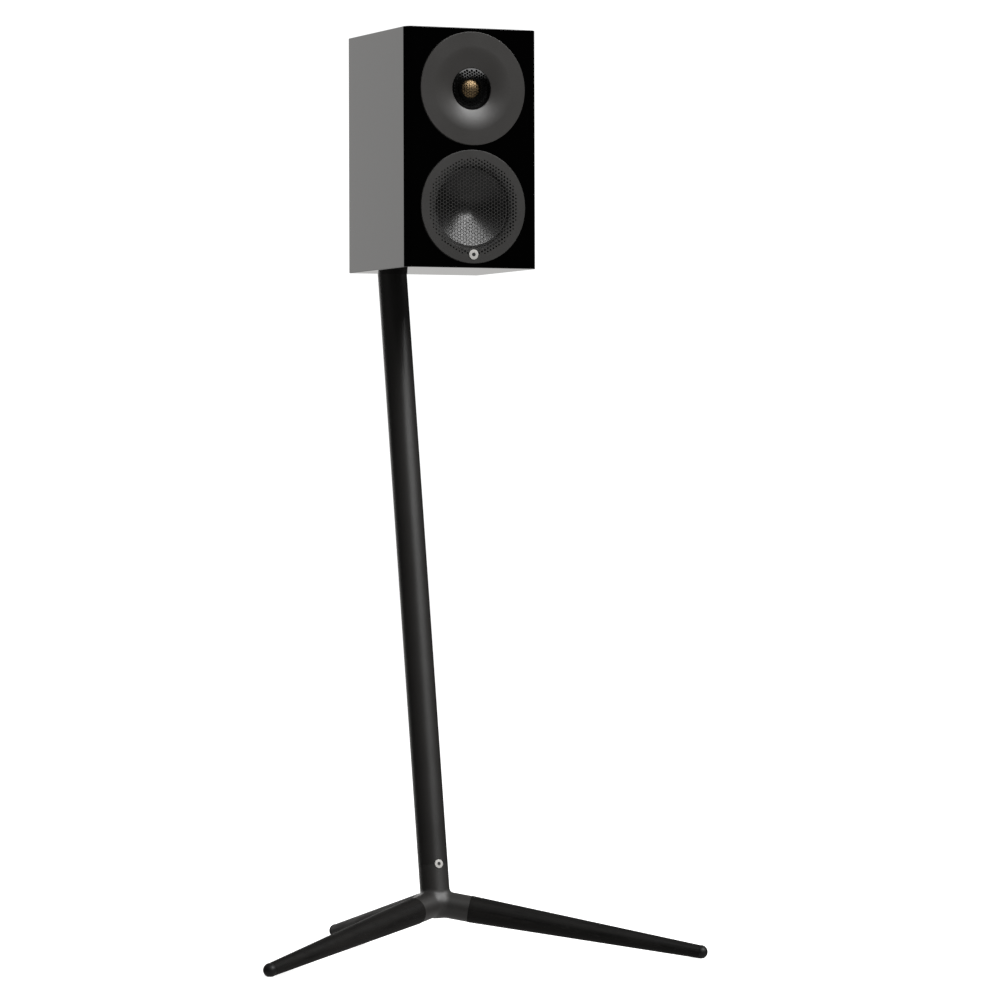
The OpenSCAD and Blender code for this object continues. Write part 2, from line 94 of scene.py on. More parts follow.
FRONT_Y = low("front_baffle").y
BAFFLE_BACK_Y = high("front_baffle").y
REAR_Y = high("cabinet_shell").y
CAB_LOW_Z = low("cabinet_shell").z
CAB_HIGH_Z = high("cabinet_shell").z
CAB_HALF_W = high("cabinet_shell").x
BOARD = 12 * MM
EDGE_R = 9 * MM

RING_R = high("woofer_grille").x
RING_PROUD = FRONT_Y - low("woofer_grille").y
WOOFER = Vector((0, FRONT_Y, middle("woofer_grille").z))
TWEETER = Vector((0, FRONT_Y, middle("tweeter_waveguide").z))

FEET = [Vector(m["pos_m"]) for m in frame["record"]["mounts"] if m["name"].startswith("foot")]
HUB_HEIGHT = 59.3 * MM
HUB = Vector((0, sum(f.y for f in FEET) / 3, HUB_HEIGHT))
LEAN = math.radians(9.64)
COLUMN_R = 16.3 * MM
SEAM = 40.5 * MM / math.cos(LEAN)
FOOT_H = 7 * MM
FOOT_R = 7.6 * MM
FOOT_SEAT = 1.5 * MM  # how far a foot's flat end lies short of its ball's centre
FOOT_REACH = (FEET[0].xy - HUB.xy).length
LEG_R, LEG_TIP_R, ARM = 14.8 * MM, 7.3 * MM, 38 * MM
LEG_DROP = math.atan2(HUB_HEIGHT - FOOT_H, FOOT_REACH)
LEG_LEN = math.hypot(FOOT_REACH, HUB_HEIGHT - FOOT_H)
LEG_TURNS = {"leg_rear": 90, "leg_left": 210, "leg_right": 330}

# local +Z runs along the column, along a leg, or back into the cabinet
AT_COLUMN = Matrix.Translation(HUB) @ Matrix.Rotation(-LEAN, 4, "X")
AT_LEG = {
    n: Matrix.Translation(HUB)
    @ Matrix.Rotation(math.radians(a), 4, "Z")
    @ Matrix.Rotation(math.pi / 2 + LEG_DROP, 4, "Y")
    for n, a in LEG_TURNS.items()
}


def into_cabinet(origin):
    """Local +Z runs from the front plane to the back, local +X to the viewer's right."""
    return Matrix.Translation(origin) @ Matrix.Rotation(-math.pi / 2, 4, "X")


# ---------------------------------------------------------------- materials
def material(name, base, rough, metallic=0.0, ior=1.5, coat=0.0, coat_rough=0.1, sheen=0.0):
    """A Principled material, returned with its node tools for the recipes below."""
    m = bpy.data.materials.new(name)
    m.use_nodes = True
    nodes, links = m.node_tree.nodes, m.node_tree.links
    bsdf = nodes["Principled BSDF"]
    bsdf.inputs["Base Color"].default_value = (*base, 1)
    bsdf.inputs["Roughness"].default_value = rough
    bsdf.inputs["Metallic"].default_value = metallic
    bsdf.inputs["IOR"].default_value = ior
    bsdf.inputs["Coat Weight"].default_value = coat
    bsdf.inputs["Coat Roughness"].default_value = coat_rough
    bsdf.inputs["Sheen Weight"].default_value = sheen
    return m, nodes, links, bsdf


def coords(nodes, links, stretch=(1, 1, 1)):
    """Object coordinates, scaled per axis."""
    tex = nodes.new("ShaderNodeTexCoord")
    mapping = nodes.new("ShaderNodeMapping")
    mapping.inputs["Scale"].default_value = stretch
    links.new(tex.outputs["Object"], mapping.inputs["Vector"])
    return mapping.outputs["Vector"]


def noise(nodes, links, vector, scale, detail=3.0, rough=0.55):
    """A noise pattern from 0 to 1, `scale` of its blotches to a metre."""
    n = nodes.new("ShaderNodeTexNoise")
    n.inputs["Scale"].default_value = scale
    n.inputs["Detail"].default_value = detail
    n.inputs["Roughness"].default_value = rough
    links.new(vector, n.inputs["Vector"])
    return n.outputs["Fac"]


def spread(nodes, links, value, low_out, high_out, low_in=0.3, high_in=0.7):
    """Maps a 0..1 pattern onto a range of numbers."""
    r = nodes.new("ShaderNodeMapRange")
    for key, v in (("From Min", low_in), ("From Max", high_in), ("To Min", low_out), ("To Max", high_out)):
        r.inputs[key].default_value = v
    links.new(value, r.inputs["Value"])
    return r.outputs["Result"]


def tint(nodes, links, value, dark, light, low_in=0.3, high_in=0.7):
    """Maps a 0..1 pattern onto two colours."""
    ramp = nodes.new("ShaderNodeValToRGB")
    ramp.color_ramp.elements[0].position = low_in
    ramp.color_ramp.elements[1].position = high_in
    ramp.color_ramp.elements[0].color = (*dark, 1)
    ramp.color_ramp.elements[1].color = (*light, 1)
    links.new(value, ramp.inputs["Fac"])
    return ramp.outputs["Color"]


def bump(nodes, links, height, bsdf, distance):
    """Makes a 0..1 pattern a relief, `distance` metres high."""
    b = nodes.new("ShaderNodeBump")
    b.inputs["Strength"].default_value = 1.0
    b.inputs["Distance"].default_value = distance
    links.new(height, b.inputs["Height"])
    links.new(b.outputs["Normal"], bsdf.inputs["Normal"])


def grainy(name, base, rough, size, depth, vary=0.12, **kw):
    """A moulded, cast, painted or rubber surface: fine grain of one size, with colour and gloss variation."""
    m, nodes, links, bsdf = material(name, base, rough, **kw)
    v = coords(nodes, links)
    fine = noise(nodes, links, v, 1 / size)
    broad = noise(nodes, links, v, 18, 2)
    dark = tuple(c * (1 - vary) for c in base)
    light = tuple(min(1, c * (1 + vary)) for c in base)
    links.new(tint(nodes, links, fine, dark, light), bsdf.inputs["Base Color"])
    links.new(spread(nodes, links, broad, rough * 0.92, min(1, rough * 1.08)), bsdf.inputs["Roughness"])
    bump(nodes, links, fine, bsdf, depth)
    return m


def lacquer():
    """Deep gloss black with a trace of orange peel and haze."""
    m, nodes, links, bsdf = material("gloss_black_lacquer", (0.0003, 0.0003, 0.0003), 0.03, ior=1.5)
    v = coords(nodes, links)
    peel = noise(nodes, links, v, 90, 1)
    haze = noise(nodes, links, v, 14, 3)
    links.new(spread(nodes, links, haze, 0.02, 0.045), bsdf.inputs["Roughness"])
    bump(nodes, links, peel, bsdf, 0.000004)
    return m


def brushed(name, base, rough, stretch, ring=False, depth=0.00002, **kw):
    """Metal with fine lines: turned round its own axis, or brushed along it."""
    m, nodes, links, bsdf = material(name, base, rough, metallic=1.0, **kw)
    if ring:
        tex = nodes.new("ShaderNodeTexCoord")
        wave = nodes.new("ShaderNodeTexWave")
        wave.wave_type, wave.rings_direction = "RINGS", "Z"
        wave.inputs["Scale"].default_value = stretch
        wave.inputs["Distortion"].default_value = 1.2
        wave.inputs["Detail"].default_value = 2
        links.new(tex.outputs["Object"], wave.inputs["Vector"])
        lines = wave.outputs["Fac"]
    else:
        lines = noise(nodes, links, coords(nodes, links, stretch), 60, 4)
    links.new(spread(nodes, links, lines, rough * 0.8, rough * 1.25), bsdf.inputs["Roughness"])
    dark = tuple(c * 0.93 for c in base)
    links.new(tint(nodes, links, lines, dark, base), bsdf.inputs["Base Color"])
    bump(nodes, links, lines, bsdf, depth)
    return m


def stained_wood(name, dark, light, rough):
    """Open-grained wood: long streaks, short pores and slow bands, all running along local Z."""
    m, nodes, links, bsdf = material(name, dark, rough, ior=1.27)
    long_grain, long_pores = (1, 1, 0.035), (1, 1, 0.06)
    streaks = noise(nodes, links, coords(nodes, links, long_grain), 420, 4, 0.6)
    bands = noise(nodes, links, coords(nodes, links, long_grain), 70, 3)
    pores = noise(nodes, links, coords(nodes, links, long_pores), 1500, 2)
    mix = nodes.new("ShaderNodeMath")
    mix.operation = "MULTIPLY"
    links.new(streaks, mix.inputs[0])
    links.new(spread(nodes, links, bands, 0.7, 1.25), mix.inputs[1])
    links.new(tint(nodes, links, mix.outputs["Value"], dark, light, 0.32, 0.72), bsdf.inputs["Base Color"])
    open_pores = spread(nodes, links, pores, 0, 1, 0.34, 0.44)
    height = nodes.new("ShaderNodeMath")
    height.operation = "MULTIPLY_ADD"
    links.new(streaks, height.inputs[0])
    height.inputs[1].default_value = 0.5
    links.new(open_pores, height.inputs[2])
    links.new(spread(nodes, links, mix.outputs["Value"], rough * 0.85, rough * 1.2), bsdf.inputs["Roughness"])
    bump(nodes, links, height.outputs["Value"], bsdf, 0.00012)
    return m


def felt_like(name, dark, light, size, ior=1.5, sheen=0.3):
    """A matte fibrous surface: felt, cloth or raw board."""
    m, nodes, links, bsdf = material(name, dark, 0.95, ior=ior, sheen=sheen)
    fibres = noise(nodes, links, coords(nodes, links), 1 / size, 6, 0.7)
    links.new(tint(nodes, links, fibres, dark, light), bsdf.inputs["Base Color"])
    bump(nodes, links, fibres, bsdf, 0.0004)
    return m


LACQUER = lacquer()
CHARCOAL = grainy("charcoal_satin", (0.0345, 0.0328, 0.0312), 0.35, 0.0006, 0.00005, 0.10, ior=1.45)
CHARCOAL_STEEL = grainy("charcoal_powder_steel", (0.0295, 0.0284, 0.0272), 0.40, 0.0006, 0.00005, 0.10,
                        ior=1.45)
COLUMN_PAINT = grainy("black_powder_coat", (0.0195, 0.0186, 0.0177), 0.39, 0.0007, 0.00007, 0.15)
HUB_CAST = grainy("dark_grey_casting", (0.026, 0.0248, 0.0236), 0.42, 0.0011, 0.00008, 0.12)
BLACK_CAST = grainy("black_casting", (0.02, 0.02, 0.02), 0.45, 0.001, 0.0001, 0.15)
RUBBER = grainy("black_rubber", (0.018, 0.018, 0.018), 0.6, 0.0009, 0.00005, 0.2)
FOOT_RUBBER = grainy("foot_rubber", (0.007, 0.007, 0.007), 0.5, 0.0012, 0.00004, 0.2, ior=1.35)
BLACK_PLASTIC = grainy("moulded_black", (0.016, 0.016, 0.017), 0.5, 0.0005, 0.00006, 0.12)
GLOSS_BLACK_PLASTIC = grainy("gloss_black_moulding", (0.01, 0.01, 0.01), 0.2, 0.002, 0.00002, 0.1)
RED_PLASTIC = grainy("red_moulding", (0.42, 0.015, 0.012), 0.22, 0.002, 0.00002, 0.1)
BLACK_STEEL = grainy("black_oxide_steel", (0.018, 0.018, 0.019), 0.35, 0.0008, 0.00003, 0.15, metallic=0.7)
BLACK_BOARD = grainy("black_rear_board", (0.014, 0.014, 0.014), 0.55, 0.0012, 0.00008, 0.15)
RAW_BOARD = felt_like("raw_board", (0.36, 0.24, 0.14), (0.5, 0.36, 0.22), 0.0009)
FELT = felt_like("white_felt", (0.5, 0.5, 0.48), (0.72, 0.72, 0.7), 0.0012)
SPIDER_CLOTH = felt_like("spider_cloth", (0.42, 0.27, 0.07), (0.6, 0.42, 0.15), 0.0007)
GUARD_BLACK = grainy("guard_black", (0.001, 0.001, 0.001), 0.14, 0.0008, 0.00001, 0.2, ior=1.26)
TWEETER_FACE = grainy("tweeter_face", (0.008, 0.008, 0.008), 0.6, 0.0008, 0.00003, 0.2, ior=1.2)
TWEETER_CLOTH = felt_like("tweeter_surround_cloth", (0.002, 0.002, 0.002), (0.005, 0.005, 0.005), 0.0005,
                          ior=1.12, sheen=0.0)
GOLD = brushed("gold_dome_metal", (0.29, 0.206, 0.115), 0.42, 900, ring=True, depth=0.000004)
CONE = grainy("black_satin_cone", (0.005, 0.005, 0.005), 0.28, 0.0009, 0.00001, 0.2, ior=1.56)
FORMER = brushed("former_foil", (0.62, 0.62, 0.63), 0.3, (1, 1, 0.1))
BADGE_METAL = grainy("badge_metal", (0.5, 0.49, 0.47), 0.5, 0.0008, 0.000006, 0.04, metallic=0.5)
BADGE_ENAMEL = grainy("badge_enamel", (0.02, 0.02, 0.02), 0.35, 0.0008, 0.000006, 0.1)
ZINC = brushed("zinc_steel", (0.52, 0.52, 0.53), 0.34, (1, 1, 0.1))
GOLD_PLATE = brushed("gold_plate", (0.85, 0.62, 0.26), 0.22, (1, 1, 0.1))
COPPER = brushed("copper_winding", (0.6, 0.27, 0.11), 0.3, 1500, ring=True, depth=0.00008)
FERRITE = grainy("ferrite", (0.035, 0.035, 0.038), 0.6, 0.001, 0.0001, 0.2)
BOARD_GREEN = grainy("circuit_board", (0.012, 0.09, 0.035), 0.3, 0.0009, 0.00002, 0.15)
NYLON = grainy("nylon", (0.62, 0.61, 0.56), 0.4, 0.001, 0.00003, 0.05)
FILM = grainy("film_capacitor", (0.55, 0.4, 0.05), 0.25, 0.002, 0.00002, 0.08)
CEMENT = grainy("cement", (0.6, 0.59, 0.56), 0.8, 0.0007, 0.00012, 0.1)
LEAD = grainy("lead_insulation", (0.2, 0.02, 0.02), 0.45, 0.002, 0.00002, 0.1)
LEG_WOOD = stained_wood("black_stained_wood", (0.002, 0.0018, 0.0016), (0.0095, 0.0086, 0.0077), 0.6)


# ---------------------------------------------------------------- making meshes
def piece(name, verts, faces, mat, place=None, body=ROOT, node=None, sharp=35):
    """A finished piece: smooth but for edges sharper than `sharp` degrees, riding on its body."""
    mesh = bpy.data.meshes.new(name)
    mesh.from_pydata([tuple(v) for v in verts], [], [tuple(f) for f in faces])
    return finish_piece(name, mesh, mat, place, body, node, sharp)


def finish_piece(name, mesh, mat, place=None, body=ROOT, node=None, sharp=35):
    """Shades the mesh, places it and stands it in for its CAD node, on the given body with the given
    material.
    """
    bm = bmesh.new()
    bm.from_mesh(mesh)
    bmesh.ops.recalc_face_normals(bm, faces=bm.faces)
    bm.to_mesh(mesh)
    bm.free()
    for p in mesh.polygons:
        p.use_smooth = True
    mesh.set_sharp_from_angle(angle=math.radians(sharp))
    mesh.validate()
    obj = bpy.data.objects.new(name, mesh)
    bpy.context.scene.collection.objects.link(obj)
    if place is not None:
        obj.matrix_world = place
    obj.data.materials.append(mat)
    weigh = obj.modifiers.new("flat_faces_stay_flat", "WEIGHTED_NORMAL")
    weigh.keep_sharp, weigh.mode = True, "FACE_AREA_WITH_ANGLE"
    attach(obj, body)
    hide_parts(node)
    return obj


def lathe_mesh(profile, segments):
    """Revolves a closed outline of (radius, depth) points round local Z; axis points become one vertex."""
    verts, rings = [], []
    for r, z in profile:
        if r < 1e-7:
            rings.append([len(verts)] * segments)
            verts.append((0, 0, z))
        else:
            rings.append(list(range(len(verts), len(verts) + segments)))
            verts += [(r * math.cos(2 * math.pi * k / segments), r * math.sin(2 * math.pi * k / segments), z)
                      for k in range(segments)]
    faces = []
    for a, b in zip(rings, rings[1:] + rings[:1]):
        for k in range(segments):
            quad = [a[k], a[(k + 1) % segments], b[(k + 1) % segments], b[k]]
            quad = [q for i, q in enumerate(quad) if q != quad[i - 1]]
            if len(quad) >= 3:
                faces.append(quad)
    return verts, faces


def lathe(name, profile, mat, place, segments=96, **kw):
    """A finished piece revolved from a closed outline."""
    verts, faces = lathe_mesh(profile, segments)
    return piece(name, verts, faces, mat, place, **kw)


def loop_faces(rows):
    """Quads between equal closed rows of vertex numbers."""
    faces = []
    for a, b in zip(rows, rows[1:]):
        n = len(a)
        for k in range(n):
            faces.append((a[k], a[(k + 1) % n], b[(k + 1) % n], b[k]))
    return faces


def round_corners(points, corner_r, steps):
    """A closed outline whose corners are arcs of one radius, or less where a side is too short for it."""
    out = []
    for i, p in enumerate(Vector(q) for q in points):
        a, b = Vector(points[i - 1]) - p, Vector(points[(i + 1) % len(points)]) - p
        half = a.angle(b) / 2
        cut = min(corner_r / math.tan(half), 0.49 * a.length, 0.49 * b.length)
        radius = cut * math.tan(half)
        centre = p + (a.normalized() + b.normalized()).normalized() * (radius / math.sin(half))
        start, end = p + a.normalized() * cut - centre, p + b.normalized() * cut - centre
        turn = start.angle_signed(end)
        for k in range(steps + 1):
            out.append(tuple(centre + Matrix.Rotation(-turn * k / steps, 2) @ start))
    return out


def refine(node, mat, bevel):
    """A new piece cut from the CAD solid's own faces, with its sharp edges rounded."""
    bm = bmesh.new()
    bm.from_mesh(NODES[node].data)
    bmesh.ops.remove_doubles(bm, verts=bm.verts, dist=2e-6)
    bmesh.ops.dissolve_limit(bm, angle_limit=math.radians(1), verts=bm.verts, edges=bm.edges)
    sharp = math.radians(32)
    edges = [e for e in bm.edges if len(e.link_faces) == 2 and e.calc_face_angle(0) > sharp]
    bmesh.ops.bevel(bm, geom=edges, offset=bevel, segments=2, profile=0.5, affect="EDGES", clamp_overlap=True)
    mesh = bpy.data.meshes.new(node + "_piece")
    bm.to_mesh(mesh)
    bm.free()
    finish_piece(node + "_piece", mesh, mat, body=NODES[node]["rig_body"], node=node, sharp=40)


# ---------------------------------------------------------------- cabinet
def front_baffle():
    """The front board: rounded upright edges, eased top and bottom edges, and the two round cut-outs."""
    ease, height = 0.7 * MM, CAB_HIGH_Z - CAB_LOW_Z
    woofer_cut_r, tweeter_cut_r = 59.8 * MM, 45 * MM
    holes = [(WOOFER.z - CAB_LOW_Z, woofer_cut_r), (TWEETER.z - CAB_LOW_Z, tweeter_cut_r)]
    arc_steps, hole_steps, ease_steps = 14, 96, 3
    depth = BAFFLE_BACK_Y - FRONT_Y

    def plan(shrink):
        """Half outline from the middle of the front to the back, pulled in by `shrink`."""
        w, r = CAB_HALF_W - shrink, EDGE_R
        pts = [(w - r + r * math.sin(t), shrink + r - r * math.cos(t))
               for t in (math.pi / 2 * k / arc_steps for k in range(arc_steps + 1))]
        return pts + [(w, depth)]

    def outline(shrink):
        right = plan(shrink)
        return [(-x, y) for x, y in reversed(right)] + right

    levels = [(ease * (1 - math.sin(t)), ease * (1 - math.cos(t)))
              for t in (math.pi / 2 * k / ease_steps for k in range(ease_steps + 1))]
    rows, verts = [], []
    stack = [(s, z) for s, z in levels] + [(s, height - z) for s, z in reversed(levels)]
    for s, z in stack:
        row = []
        for x, y in outline(s):
            row.append(len(verts))
            verts.append((x, FRONT_Y + y, CAB_LOW_Z + z))
        rows.append(row)
    n = len(rows[0])
    front = n // 2 - 1  # the wide flat front lies between this column and the next
    faces = []
    for a, b in zip(rows, rows[1:]):
        for k in range(n - 1):
            if k == front and a is rows[ease_steps]:
                continue
            faces.append((a[k], a[k + 1], b[k + 1], b[k]))
    faces += [tuple(rows[0]), tuple(reversed(rows[-1]))]

    flat = CAB_HALF_W - EDGE_R
    z0, z1 = ease, height - ease
    front_rim = [(-flat, z0), (flat, z0), (flat, z1), (-flat, z1)]
    back_rim = [(CAB_HALF_W - s, z) for s, z in stack] + [(s - CAB_HALF_W, z) for s, z in reversed(stack)]
    for y, rim in ((0.0, front_rim), (depth, back_rim)):
        pts = list(rim)
        edges = [(k, (k + 1) % len(rim)) for k in range(len(rim))]
        for cz, r in holes:
            first = len(pts)
            angles = [2 * math.pi * k / hole_steps for k in range(hole_steps)]
            pts += [(r * math.cos(t), cz + r * math.sin(t)) for t in angles]
            edges += [(first + k, first + (k + 1) % hole_steps) for k in range(hole_steps)]
        out = delaunay_2d_cdt([Vector(p) for p in pts], edges, [], 1, 1e-7)
        base = len(verts)
        verts += [(p.x, FRONT_Y + y, CAB_LOW_Z + p.y) for p in out[0]]
        for f in out[2]:
            c = sum((out[0][i] for i in f), Vector((0, 0))) / len(f)
            if all((c - Vector((0, cz))).length > r * 0.9995 for cz, r in holes):
                faces.append(tuple(base + i for i in f))
    for cz, r in holes:
        ring = [[], []]
        for j, y in enumerate((0.0, depth)):
            for k in range(hole_steps):
                t = 2 * math.pi * k / hole_steps
                ring[j].append(len(verts))
                verts.append((r * math.cos(t), FRONT_Y + y, CAB_LOW_Z + cz + r * math.sin(t)))
        faces += loop_faces(ring)
    mesh = bpy.data.meshes.new("front_baffle_piece")
    bm = bmesh.new()
    bv = [bm.verts.new(v) for v in verts]
    for f in faces:
        try:
            bm.faces.new([bv[i] for i in f])
        except ValueError:
            pass
    bmesh.ops.remove_doubles(bm, verts=bm.verts, dist=1e-6)
    bm.to_mesh(mesh)
    bm.free()
    finish_piece("front_baffle_piece", mesh, LACQUER, node="front_baffle", sharp=40)


def cabinet_shell():
    """The four-sided body behind the front board, its long and rear edges eased."""
    ease, rear_ease, steps = 0.7 * MM, 1.2 * MM, 3
    w, z0, z1 = CAB_HALF_W, CAB_LOW_Z, CAB_HIGH_Z

    def outline(inset, radius):
        x, bottom, top = w - inset, z0 + inset, z1 - inset
        return round_corners([(-x, bottom), (x, bottom), (x, top), (-x, top)], radius, steps)

    rows, verts = [], []

    def add(inset, radius, y):
        rows.append(list(range(len(verts), len(verts) + 4 * (steps + 1))))
        verts.extend((x, y, z) for x, z in outline(inset, radius))

    add(BOARD, 0.3 * MM, BAFFLE_BACK_Y)
    add(0, ease, BAFFLE_BACK_Y)
    for k in range(steps + 1):
        t = math.pi / 2 * k / steps
        add(rear_ease * (1 - math.cos(t)), ease, REAR_Y - rear_ease * (1 - math.sin(t)))
    add(BOARD - 0.4 * MM, 0.3 * MM, REAR_Y)
    add(BOARD, 0.3 * MM, REAR_Y - 0.4 * MM)
    faces = loop_faces(rows + rows[:1])
    piece("cabinet_shell_piece", verts, faces, LACQUER, node="cabinet_shell", sharp=40)


# ---------------------------------------------------------------- woofer
# the guard's holes: pitch, width across flats, radius of the field, and of its part with full-size holes
HOLE_PITCH, HOLE_FLATS, FIELD_R, FULL_R = 3.86 * MM, 3.42 * MM, 53 * MM, 42 * MM
SHEET = 0.6 * MM
DISC_R, DISC_DROP = 5.4 * MM, 51.8 * MM


def six_sided(across_flats, rounding):
    """The outline of one hole: a hexagon with two flats facing up and down, its corners eased."""
    corner = across_flats / 2 / math.cos(math.radians(30))
    points = [(corner * math.cos(t), corner * math.sin(t)) for t in (math.pi / 3 * k for k in range(6))]
    return [Vector(p) for p in round_corners(points, rounding, 2)]


def perforated(outer, outer_sides, pitch, hole, size_at):
    """A flat disc with a triangular grid of holes: points, faces, and which edges are open.

    size_at(centre) scales each hole, 0 for none. The open edges come back in two lists, round the holes
    and round the rim."""
    step = pitch * math.sin(math.radians(60))
    cols, per_col = int(outer / step) + 1, int(outer / pitch) + 1
    turn = 2 * math.pi / outer_sides
    pts = [Vector((math.cos(turn * k), math.sin(turn * k))) * outer for k in range(outer_sides)]
    edges = [(k, (k + 1) % outer_sides) for k in range(outer_sides)]
    owner = [-1] * outer_sides
    for i in range(-cols, cols + 1):
        for j in range(-per_col, per_col + 1):
            c = Vector((i * step, (j + (0.5 if i % 2 else 0)) * pitch))
            size = size_at(c)
            if size > 0:
                first = len(pts)
                pts += [c + p * size for p in hole]
                edges += [(first + k, first + (k + 1) % len(hole)) for k in range(len(hole))]
                owner += [first] * len(hole)
    points, _, cells, sources = delaunay_2d_cdt(pts, edges, [], 1, 1e-8)[:4]
    faces, used = [], set()
    for cell in cells:
        owners = {owner[sources[i][0]] for i in cell}
        if len(owners) == 1 and -1 not in owners:
            continue
        faces.append(tuple(cell))
        used.update(zip(cell, cell[1:] + cell[:1]))
    open_edges = [(a, b) for a, b in used if (b, a) not in used]
    rim = [e for e in open_edges if points[e[0]].length > outer * 0.99]
    holes = [e for e in open_edges if points[e[0]].length <= outer * 0.99]
    return points, faces, holes, rim


def woofer_grille():
    """A powder-coated steel disc with its six-sided holes, smaller toward the turned rim."""
    edge = 0.5 * MM
    flat_r = RING_R - edge
    fade = FIELD_R + 1.5 * MM

    def size_at(c):
        if c.length >= FIELD_R or (c - Vector((0, DISC_DROP))).length < DISC_R + 1.4 * MM:
            return 0
        return math.sqrt(min(1, (fade - c.length) / (fade - FULL_R)))

    pts, cells, holes, rim = perforated(flat_r, 192, HOLE_PITCH, six_sided(HOLE_FLATS, 0.35 * MM), size_at)
    front, back, n = -RING_PROUD, -RING_PROUD + SHEET, len(pts)
    verts = [(p.x, p.y, front) for p in pts] + [(p.x, p.y, back) for p in pts]
    faces = list(cells) + [tuple(n + i for i in reversed(f)) for f in cells]
    faces += [(b, a, n + a, n + b) for a, b in holes]
    # the turned rim: from the front face round the edge, back to the cabinet and up inside
    order = sorted({i for e in rim for i in e}, key=lambda i: math.atan2(pts[i].y, pts[i].x))
    section = [(flat_r + edge * math.sin(t), front + edge * (1 - math.cos(t)))
               for t in (math.pi / 2 * k / 5 for k in range(1, 6))]
    inner_r = RING_R - 1.3 * MM
    section += [(RING_R, 0), (inner_r, 0), (inner_r, back)]
    rows = [order]
    for r, z in section:
        rows.append(list(range(len(verts), len(verts) + len(order))))
        verts += [(pts[i].x / flat_r * r, pts[i].y / flat_r * r, z) for i in order]
    rows.append([n + i for i in order])
    faces += loop_faces(rows)
    piece("woofer_grille_piece", verts, faces, CHARCOAL_STEEL, into_cabinet(WOOFER), node="woofer_grille",
          sharp=50)


CONE_R, NECK_R, NECK_Y, CONE_EDGE_Y = 43.5 * MM, 13 * MM, 17.5 * MM, 5.5 * MM


def cone_depth(r):
    """How far behind the front plane the straight cone's face lies at radius r."""
    return NECK_Y - (NECK_Y - 5.8 * MM) * (r - NECK_R) / (CONE_R - 2 * MM - NECK_R)


def woofer_moving():
    """The straight cone with its collar, and the dished cap that carries its line on to the middle."""
    rs = [NECK_R + (CONE_R - 2 * MM - NECK_R) * k / 24 for k in range(25)]
    front = [(r, cone_depth(r)) for r in rs] + [(CONE_R - 1 * MM, CONE_EDGE_Y), (CONE_R, CONE_EDGE_Y)]
    back = [(CONE_R, CONE_EDGE_Y + 0.7 * MM), (CONE_R - 1.4 * MM, CONE_EDGE_Y + 0.8 * MM)]
    back += [(r, cone_depth(r) + 0.9 * MM) for r in reversed(rs[2:])]
    collar = NECK_R + 0.7 * MM
    back += [(collar, NECK_Y + 1 * MM), (collar, NECK_Y + 3 * MM), (NECK_R, NECK_Y + 3 * MM)]
    lathe("woofer_cone_piece", front + back, CONE, into_cabinet(WOOFER), 128, body="woofer_cone_group",
          node="woofer_cone")
    rim, seat, dish = 14.2 * MM, 12.4 * MM, 2.9 * MM
    edge = cone_depth(rim) - 0.15 * MM
    cap = [(rim * t, edge + dish * (1 - t * t)) for t in (k / 20 for k in range(21))]
    cap += [(rim, edge + 0.1 * MM), (NECK_R, NECK_Y - 0.02 * MM)]
    cap += [(seat * t, edge + 0.3 * MM + dish * (1 - (seat / rim * t) ** 2))
            for t in (k / 16 for k in range(16, -1, -1))]
    lathe("woofer_dust_cap_piece", cap, CONE, into_cabinet(WOOFER), 96, body="woofer_cone_group",
          node="woofer_dust_cap")


def stretched(obj):
    """Bakes the ring's placement into its vertices, leaving its object at the identity transform."""
    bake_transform(obj)


def ring_piece(name, profile, mat, place, segments, node):
    """A revolved piece with its vertices already in the row frame, with no parent, ready for stretched()."""
    verts, faces = lathe_mesh(profile, segments)
    mesh = bpy.data.meshes.new(name)
    mesh.from_pydata([tuple(place @ Vector(v)) for v in verts], [], [tuple(f) for f in faces])
    bm = bmesh.new()
    bm.from_mesh(mesh)
    bmesh.ops.recalc_face_normals(bm, faces=bm.faces)
    bm.to_mesh(mesh)
    bm.free()
    for p in mesh.polygons:
        p.use_smooth = True
    mesh.set_sharp_from_angle(angle=math.radians(50))
    obj = bpy.data.objects.new(name, mesh)
    bpy.context.scene.collection.objects.link(obj)
    obj.data.materials.append(mat)
    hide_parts(node)
    return obj


def half_roll(r0, r1, base, thick, steps):
    """The outer arc of a rolled edge from r0 to r1, and its inner arc on the way back."""
    middle_r, outer, inner = (r0 + r1) / 2, (r1 - r0) / 2, (r1 - r0) / 2 - thick
    angles = [math.pi * k / steps for k in range(steps + 1)]
    up = [(middle_r - outer * math.cos(t), base - outer * math.sin(t)) for t in angles]
    down = [(middle_r - inner * math.cos(t), base - inner * math.sin(t)) for t in reversed(angles)]
    return up, down


